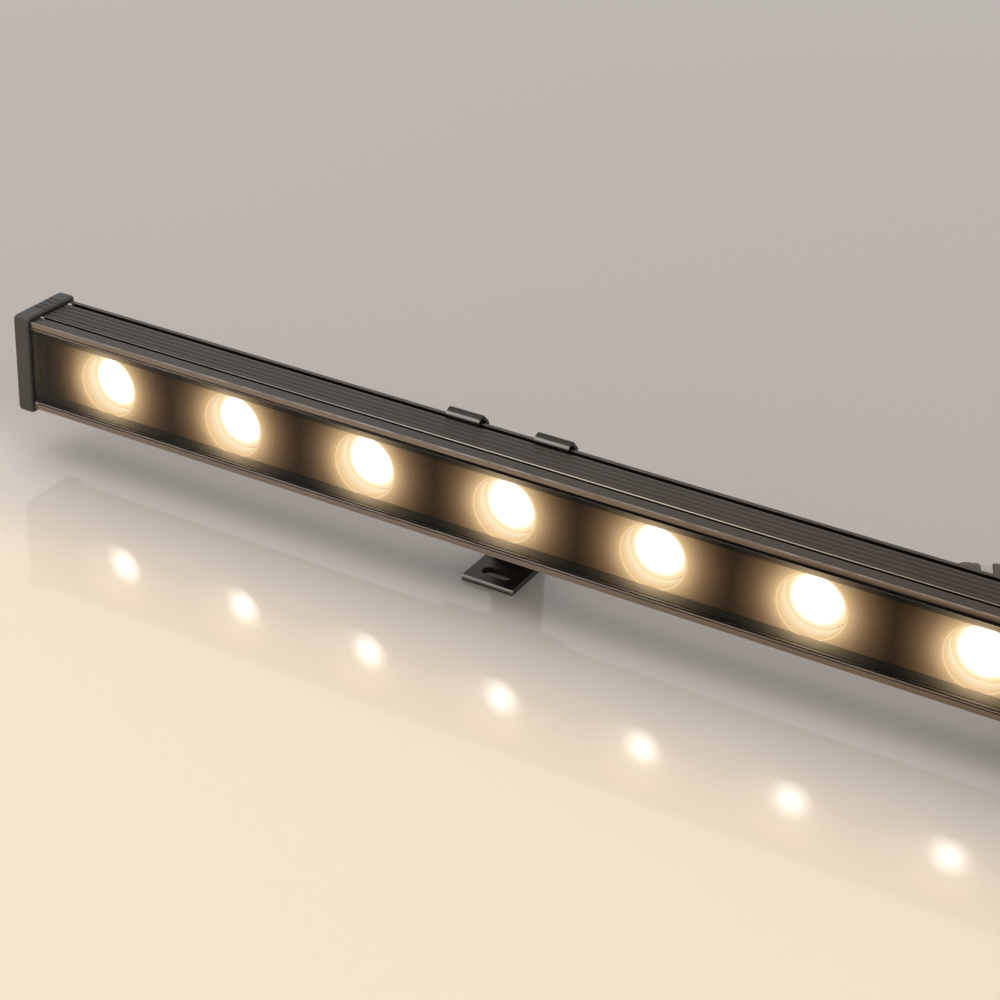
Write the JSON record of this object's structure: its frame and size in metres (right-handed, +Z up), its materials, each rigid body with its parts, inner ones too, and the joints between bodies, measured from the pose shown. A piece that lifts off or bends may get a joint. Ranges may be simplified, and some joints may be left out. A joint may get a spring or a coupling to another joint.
{
  "type": "linear floodlight",
  "caption": "Linear floodlight: ribbed aluminium extrusion with a row of recessed lenses behind flat glass, on sliding clips with tilting slotted feet, and a short cord with a connector.",
  "frame": {"origin": "on the floor under the feet, at the centre of the box of the lamp and its brackets, without the cord, its gland and its connector", "axes": "+X along the lamp towards the cord's end, -Y the way the light leaves, +Z up"},
  "size_m": [0.5828, 0.1297, 0.0569],
  "materials": {
    "housing": "dark bronze satin anodising",
    "cap": "grey satin paint on a casting",
    "glass": "clear float glass",
    "panel": "fine-grained dark bronze",
    "lens": "clear moulded acrylic, lit warm white",
    "board": "white solder mask",
    "emitter": "phosphor under a clear dome",
    "thermal_pad": "soft grey filled silicone",
    "silicone": "pale translucent silicone",
    "black_rubber": "matt black",
    "black_plastic": "fine-grained black nylon",
    "brown_wire": "brown insulation",
    "blue_wire": "blue insulation",
    "pins": "plain turned brass",
    "bracket": "dark satin coat on bent steel",
    "steel": "plain stainless"
  },
  "bodies": {
    "lamp": {"housing": "housing", "front_glass": "glass", "glass_gasket": "black_rubber", "lens_panel": "panel", "lens_1": "lens", "lens_2": "lens", "lens_3": "lens", "lens_4": "lens", "lens_5": "lens", "lens_6": "lens", "lens_7": "lens", "lens_8": "lens", "lens_9": "lens", "led_board": "board", "led_emitters": "emitter", "driver_chips": "black_plastic", "board_screws": "steel", "thermal_pad": "thermal_pad", "left_end_cap": "cap", "right_end_cap": "cap", "left_cap_gasket": "silicone", "right_cap_gasket": "silicone", "left_cap_screws": "steel", "right_cap_screws": "steel", "gland_body": "black_plastic", "gland_seal": "black_rubber", "gland_locknut": "black_plastic", "gland_cap_nut": "black_plastic", "inner_cable": "black_rubber", "brown_wire": "brown_wire", "blue_wire": "blue_wire", "power_cord": "black_rubber", "connector_sleeve": "black_rubber", "connector_body": "black_plastic", "connector_nut": "black_plastic", "connector_seal_ring": "silicone", "connector_cap": "black_rubber", "connector_pins": "pins"},
    "left_bracket": {"left_clip": "bracket", "left_pivot_bolt": "steel", "left_pivot_nut": "steel", "left_pivot_washers": "steel"},
    "left_stand": {"left_foot": "bracket"},
    "right_bracket": {"right_clip": "bracket", "right_pivot_bolt": "steel", "right_pivot_nut": "steel", "right_pivot_washers": "steel"},
    "right_stand": {"right_foot": "bracket"}
  },
  "joints": [
    {"name": "left_clip_slide", "type": "slide", "parent": "lamp", "child": "left_bracket", "axis": [1, 0, 0], "range_m": [-0.15, 0.06]},
    {"name": "right_clip_slide", "type": "slide", "parent": "lamp", "child": "right_bracket", "axis": [1, 0, 0], "range_m": [-0.06, 0.07]},
    {"name": "left_foot_tilt", "type": "hinge", "parent": "left_bracket", "child": "left_stand", "pos_m": [-0.0632, 0.0138, 0.028], "axis": [1, 0, 0], "range_deg": [-30, 90]},
    {"name": "right_foot_tilt", "type": "hinge", "parent": "right_bracket", "child": "right_stand", "pos_m": [0.14, 0.0138, 0.028], "axis": [1, 0, 0], "range_deg": [-30, 90]}
  ]
}
